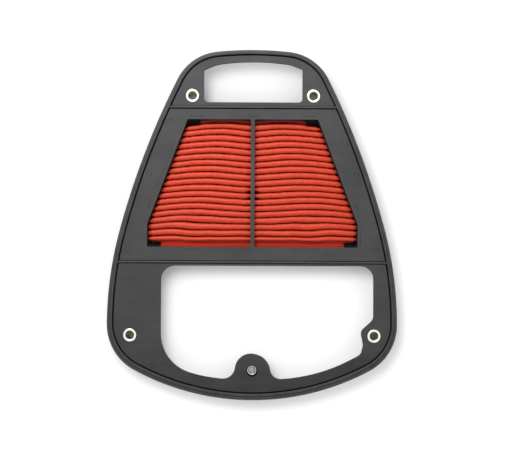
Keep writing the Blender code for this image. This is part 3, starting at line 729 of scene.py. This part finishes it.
POTTING_STEPS = 220
potting_low, potting_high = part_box("potting_right")
POTTING_OUT = potting_high.x - WINDOW_HALF
POTTING_IN = POTTING_OUT - 1.9 * mm
shoulder_corner = np.array([WINDOW_HALF, WINDOW_SHOULDER_Y])
slant = np.array([slant_run, -slant_fall]) / slant_length
slant_normal_angle = math.atan2(slant[0], -slant[1])
bend_radius = 3.0 * mm
bend_reach = bend_radius * math.tan(slant_normal_angle / 2.0)
slant_start = (WINDOW_TOP_Y - potting_high.y) / slant_fall * slant_length
distance = np.linspace(slant_start - slant_length, shoulder_corner[1] - potting_low.y, POTTING_STEPS)
turn = np.clip((bend_reach - distance) / (2.0 * bend_reach), 0.0, 1.0) * slant_normal_angle
normals = np.stack([np.cos(turn), np.sin(turn)], axis=-1)
on_slant = shoulder_corner + slant * np.minimum(distance, 0.0)[:, None]
on_side = np.array([0.0, -1.0]) * np.maximum(distance, 0.0)[:, None]
potting_path = on_slant + on_side

section = rounded([
    (POTTING_IN, potting_low.z, 0.3 * mm),
    (POTTING_OUT, potting_low.z, 0.3 * mm),
    (POTTING_OUT, potting_high.z, 0.15 * mm),
    (POTTING_IN, potting_high.z - 0.7 * mm, 0.6 * mm),
])
is_top = (section[:, 1] > potting_high.z - 3.0 * mm)[None, :]
is_inner = (section[:, 0] < POTTING_IN + 0.8 * mm)[None, :]
scallop = 0.5 + 0.5 * np.cos(2.0 * math.pi * (potting_path[:, 1:] - FIRST_PLEAT) / PITCH)
lumps = np.sin(potting_path[:, 1:] * 900.0) * np.sin(potting_path[:, 1:] * 391.0)
offsets = section[None, :, 0] + is_inner * (0.25 * mm * scallop + 0.06 * mm * lumps)
heights = section[None, :, 1] - is_top * (0.35 * mm * scallop + 0.12 * mm * lumps + 0.12 * mm)

finish = Finish("cast_compound")
flow = finish.noise(2.0 * mm, detail=3.0)
pits = finish.noise(0.4 * mm, detail=2.0)
compound = finish.shade({
    "Base Color": finish.blend(flow, (0.003, 0.002, 0.002), (0.012, 0.006, 0.005)),
    "Roughness": 0.50 + 0.25 * flow,
    "Specular IOR Level": 0.15,
    "Normal": finish.bump(0.7 * flow + 0.3 * pits, 0.10 * mm, 0.6)})


def pool(corners):
    """Pool of compound in a corner: a block whose top climbs its walls and sinks in the middle.

    Every level is the rounded outline scaled about its middle; outside the wall's fillet the
    height is the middle's, plus a climb with the fourth power of the scale, plus slow waves.
    """
    path, _ = rounded_path(np.array(corners), 0.9 * mm)
    middle = path.mean(axis=0)
    scales = np.concatenate([[1.0, 1.0, 0.985], np.linspace(0.95, 0.05, 12)])[:, None]
    plan = middle + (path - middle) * scales[..., None]
    waves = 0.10 * mm * np.sin(plan[..., 0] * 1900.0) * np.sin(plan[..., 1] * 1500.0 + 1.0)
    climb = potting_high.z - 0.95 * mm + 0.8 * mm * scales ** 4 + waves * (scales < 0.96)
    climb[0] = potting_low.z + 0.1 * mm
    climb[1] = potting_high.z - 0.5 * mm
    return np.concatenate([plan, climb[..., None]], axis=-1)


NOSE_POOL_X = 37.8 * mm
NOSE_POOL_Y = 71.9 * mm
TAIL_POOL_X = 65.8 * mm
TAIL_POOL_Y = -13.0 * mm
nose_wall = slant_half_width(np.array([potting_high.y, NOSE_POOL_Y]), POTTING_OUT - 0.1 * mm)
tail_wall = potting_high.x - 0.1 * mm
pools = [
    pool([(NOSE_POOL_X, potting_high.y), (nose_wall[0], potting_high.y),
          (nose_wall[1], NOSE_POOL_Y), (NOSE_POOL_X, NOSE_POOL_Y)]),
    pool([(TAIL_POOL_X, TAIL_POOL_Y), (tail_wall, TAIL_POOL_Y),
          (tail_wall, potting_low.y), (TAIL_POOL_X, potting_low.y)]),
]
for side, direction in (("left", -1.0), ("right", 1.0)):
    mirror = (direction, 1.0, 1.0)
    strip = swept(potting_path, normals, offsets, heights) * mirror
    shells = [shell(strip, False, True, caps=True)]
    shells += [shell(grid * mirror, False, True, caps=True) for grid in pools]
    potting = formed("cast_potting_" + side, shells)
    show(potting, compound, "potting_compound", "potting_" + side)


# ---- Hot-melt glue -------------------------------------------------------------------------
# Extruded beads of clear hot melt, stained red by the oil: one under the half pleat at each end
# wall, and a thin one under the centre rib that keeps the pleats apart.  Each swells and thins
# as the nozzle moved: its section is scaled along its length by 1 plus two slow sines.

finish = Finish("stained_hot_melt")
flow = finish.noise(3.0 * mm, detail=3.0)
hot_melt = finish.shade({
    "Base Color": finish.blend(flow, (0.10, 0.018, 0.012), (0.22, 0.045, 0.022)),
    "Roughness": 0.24 + 0.22 * flow,
    "Coat Weight": 0.25 * flow,
    "Normal": finish.bump(flow, 0.15 * mm, 0.5)})


def glue_bead(node, name, along_x, corner):
    """Bead that fills a CAD strip's box: a rounded section carried along it, swelling and thinning."""
    low, high = (np.array(place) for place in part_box(node))
    long_axis, wide_axis = (0, 1) if along_x else (1, 0)
    middle = (low + high) / 2.0
    half = (high - low) / 2.0
    section = rounded([(-half[wide_axis], -half[2], corner), (half[wide_axis], -half[2], corner),
                       (half[wide_axis], half[2], corner), (-half[wide_axis], half[2], corner)])
    end_share = np.linspace(-1.0, 1.0, 160)
    swelling = 0.95 + 0.03 * np.sin(end_share * 19.0) + 0.02 * np.sin(end_share * 47.0 + 1.0)
    rounding = np.sqrt(1.0 - 0.75 * np.clip((np.abs(end_share) - 0.985) / 0.015, 0.0, 1.0) ** 2)
    scale = (swelling * rounding)[:, None]
    grid = np.empty((len(end_share), len(section), 3))
    grid[..., long_axis] = middle[long_axis] + half[long_axis] * end_share[:, None]
    grid[..., wide_axis] = middle[wide_axis] + section[None, :, 0] * scale
    grid[..., 2] = middle[2] + section[None, :, 1] * scale
    bead = formed(name, [shell(grid, False, True, caps=True)])
    show(bead, hot_melt, "hot_melt", node)


glue_bead("glue_strip_top", "glue_nose_end", True, 0.6 * mm)
glue_bead("glue_strip_bottom", "glue_tail_end", True, 0.6 * mm)
glue_bead("centre_glue_bead", "glue_under_rib", False, 0.3 * mm)


# ---- Front seal ----------------------------------------------------------------------------
# Rubber moulded over the rim flange, with two thin bars that cross the plate in grooves.  From
# outside in: a rounded shoulder, a sloping band, a fine groove that fades towards the nose, and
# a ridge that the airbox presses on.  It is widest at the tail and narrowest at the nose.

RIM_ARCS = ((250.0, 5.9), (35.5, 57.6), (570.0, 11.6), (263.0, 14.8), (37.0, 61.8))
seal_low, seal_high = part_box("front_seal")
RIM_SPACING = 1.6 * mm


def rim_path():
    """Outer outline and its outward normals: a chain of tangent arcs, nose to tail, mirrored.

    Each arc turns clockwise through its own angle about a centre one radius behind its start; the
    tail arc's radius follows from where it has to meet the centre line.
    """
    point = np.array([0.0, seal_high.y])
    heading = math.pi / 2.0
    path, angles = [], []
    for radius, degrees in RIM_ARCS:
        radius = radius * mm
        sweep = math.radians(degrees)
        spoke = np.array([math.cos(heading), math.sin(heading)])
        steps = math.ceil(radius * sweep / RIM_SPACING)
        turns = heading - sweep * np.arange(steps) / steps
        path.append(point + radius * (np.stack([np.cos(turns), np.sin(turns)], -1) - spoke))
        angles.append(turns)
        heading -= sweep
        point = point + radius * (np.array([math.cos(heading), math.sin(heading)]) - spoke)
    radius = point[0] / math.cos(heading)
    sweep = heading + math.pi / 2.0
    steps = math.ceil(radius * sweep / RIM_SPACING)
    turns = heading - sweep * np.arange(steps + 1) / steps
    spoke = np.array([math.cos(heading), math.sin(heading)])
    path.append(point + radius * (np.stack([np.cos(turns), np.sin(turns)], -1) - spoke))
    angles.append(turns)
    path, angles = np.concatenate(path), np.concatenate(angles)
    normals = np.stack([np.cos(angles), np.sin(angles)], axis=-1)
    mirror = np.array([-1.0, 1.0])
    path = np.concatenate([path[:-1], path[:0:-1] * mirror])
    return path, np.concatenate([normals[:-1], normals[:0:-1] * mirror])


rim, rim_normals = rim_path()
facing_nose = rim_normals[:, 1:]
seal_width = 3.8 * mm - 0.8 * mm * facing_nose
across = np.linspace(0.0, 1.0, 41)[None, :]
inward = across * seal_width

SHOULDER_Z = seal_high.z - 1.9 * mm
rise = 0.95 * mm * np.sqrt(1.0 - (1.0 - np.clip(inward / (0.9 * mm), 0.0, 1.0)) ** 2)
slope = 0.30 * mm * np.clip(across / 0.55, 0.0, 1.0)
ridge_step = np.clip((across - 0.52) / 0.14, 0.0, 1.0)
ridge = 0.50 * mm * ridge_step ** 2 * (3.0 - 2.0 * ridge_step)
inner_round = np.clip((inward - seal_width + 0.5 * mm) / (0.5 * mm), 0.0, 1.0)
inner_drop = 0.5 * mm * (1.0 - np.sqrt(1.0 - inner_round ** 2))
groove_depth = 0.45 * mm * np.clip(0.55 - 0.75 * facing_nose, 0.15, 1.0)
groove = groove_depth * np.exp(-((across - 0.53) / 0.045) ** 2)
top_z = SHOULDER_Z + rise + slope + ridge - inner_drop - groove

steps = len(rim)
offsets = np.concatenate([np.zeros((steps, 2)), -inward, -seal_width, -seal_width], axis=1)
heights = np.concatenate([
    np.full((steps, 1), seal_low.z), np.full((steps, 1), SHOULDER_Z - 0.5 * mm), top_z,
    np.full((steps, 1), SHOULDER_Z), np.full((steps, 1), seal_low.z)], axis=1)
seal_shells = [shell(swept(rim, rim_normals, offsets, heights), True, True)]

BARS = ((84.0 * mm, 61.3 * mm), (-26.5 * mm, 98.4 * mm))
BAR_HALF = 0.7 * mm
BAR_LOW = seal_low.z + 1.2 * mm
BAR_TOP = seal_high.z - 0.9 * mm
bar_turn = np.linspace(0.0, math.pi, 9)
bar_offsets = np.concatenate([[BAR_HALF], BAR_HALF * np.cos(bar_turn), [-BAR_HALF]])
bar_heights = np.concatenate([[BAR_LOW], BAR_TOP - 0.4 * mm + 0.4 * mm * np.sin(bar_turn), [BAR_LOW]])
for y, reach in BARS:
    line, line_normals = straight((-reach, y), (reach, y), 120)
    waver = 0.05 * mm * np.sin(np.linspace(0.0, 23.0, 120) + 400.0 * y)[:, None]
    grid = swept(line, line_normals, bar_offsets[None] + waver, bar_heights[None])
    seal_shells.append(shell(grid, False, True, caps=True))
front_seal = formed("rim_seal_front", seal_shells)


def satin_rubber(name, dark, light):
    """Moulded rubber: mild bloom in clouds, fine pores, and a satin skin."""
    finish = Finish(name)
    bloom = finish.noise(9.0 * mm, detail=4.0)
    pores = finish.noise(0.3 * mm, detail=3.0)
    scuff = finish.noise(1.8 * mm, detail=4.0, stretch=(1.0, 3.0, 1.0))
    return finish.shade({
        "Base Color": finish.blend(finish.between(0.6 * bloom + 0.4 * scuff, 0.35, 0.65), dark, light),
        "Roughness": 0.42 + 0.18 * bloom + 0.05 * pores,
        "Specular IOR Level": 0.25,
        "Normal": finish.bump(0.5 * pores + 0.5 * scuff, 0.03 * mm, 0.6)})


rubber = satin_rubber("seal_rubber", (0.030, 0.030, 0.031), (0.044, 0.044, 0.045))
show(front_seal, rubber, "seal_rubber", "front_seal")


# ---- Rear seal -----------------------------------------------------------------------------
# The same rubber on the back of the rim: a flat-topped bead with two lips and a groove between
# them, which the lower airbox half presses into.

rear_low, rear_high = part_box("rear_seal")
REAR_OUT = seal_high.y - rear_high.y
REAR_WIDTH = 3.8 * mm
across = np.linspace(0.0, 1.0, 33)
edge_round = np.sqrt(1.0 - np.clip(np.abs(2.0 * across - 1.0) * 1.6 - 0.6, 0.0, 1.0) ** 2)
lips = 0.5 * mm * np.exp(-((across - 0.5) / 0.12) ** 2)
lip_z = rear_low.z + 0.9 * mm * (1.0 - edge_round) + lips
offsets = -(REAR_OUT + REAR_WIDTH * np.concatenate([[0.0], across, [1.0]]))
heights = np.concatenate([[rear_high.z], lip_z, [rear_high.z]])
rear_seal = formed("rim_seal_rear", [
    shell(swept(rim, rim_normals, offsets[None], heights[None]), True, True)])
show(rear_seal, rubber, "seal_rubber", "rear_seal")
rear_seal.data.set_sharp_from_angle(angle=math.radians(50.0))


# ---- Studio --------------------------------------------------------------------------------
# A white table under a bright, even surround.  One soft light beyond the nose, a little to the
# left, is for the filter, and a larger one behind it is for the table.  The camera looks straight down from
# a little behind the middle.

floor_mesh = bpy.data.meshes.new("studio_floor")
FLOOR_HALF = 3.0
floor_mesh.from_pydata(
    [(-FLOOR_HALF, -FLOOR_HALF, 0.0), (FLOOR_HALF, -FLOOR_HALF, 0.0),
     (FLOOR_HALF, FLOOR_HALF, 0.0), (-FLOOR_HALF, FLOOR_HALF, 0.0)], [], [(0, 1, 2, 3)])
floor = bpy.data.objects.new("studio_floor", floor_mesh)
bpy.context.scene.collection.objects.link(floor)
finish = Finish("matt_white_table")
floor_mesh.materials.append(finish.shade({
    "Base Color": (0.94, 0.94, 0.94, 1.0), "Roughness": 0.9, "Specular IOR Level": 0.1}))

SURROUND = 0.98
world = bpy.data.worlds.new("studio_surround")
bpy.context.scene.world = world
world.use_nodes = True
world.node_tree.nodes["Background"].inputs["Color"].default_value = (1.0, 1.0, 1.0, 1.0)
world.node_tree.nodes["Background"].inputs["Strength"].default_value = SURROUND


def soft_light(name, place, size, power, lit):
    """Square area light aimed at the middle of the filter, which lights only some objects."""
    lamp = bpy.data.lights.new(name, "AREA")
    lamp.size = size
    lamp.energy = power
    light = bpy.data.objects.new(name, lamp)
    bpy.context.scene.collection.objects.link(light)
    x, y, z = place
    light.location = place
    light.rotation_euler = (0.0, math.atan2(math.hypot(x, y), z), math.atan2(y, x))
    receivers = bpy.data.collections.new(name + "_receivers")
    for lit_object in lit:
        receivers.objects.link(lit_object)
    light.light_linking.receiver_collection = receivers


filter_pieces = [item for item in bpy.context.scene.objects if item.type == "MESH" and item != floor]
soft_light("key_light", (-0.10, 0.33, 0.33), 0.20, 2.2, filter_pieces)
soft_light("table_light", (-0.22, 0.32, 0.94), 0.46, 5.0, [floor])

VIEW_DISTANCE = 1.15
VIEW_WIDTH = 364.6 * mm
camera_data = bpy.data.cameras.new("viewpoint")
camera_data.sensor_width = 36.0
camera_data.lens = camera_data.sensor_width * VIEW_DISTANCE / VIEW_WIDTH
camera_data.clip_start = 0.01
camera = bpy.data.objects.new("viewpoint", camera_data)
bpy.context.scene.collection.objects.link(camera)
middle = (cad_box[0] + cad_box[1]) / 2.0
camera.location = (middle.x + 2.6 * mm, middle.y - 6.7 * mm, plate_face + VIEW_DISTANCE)
camera.rotation_euler = (0.0, 0.0, math.radians(0.3))
bpy.context.scene.camera = camera
bpy.context.scene.view_settings.view_transform = "Standard"
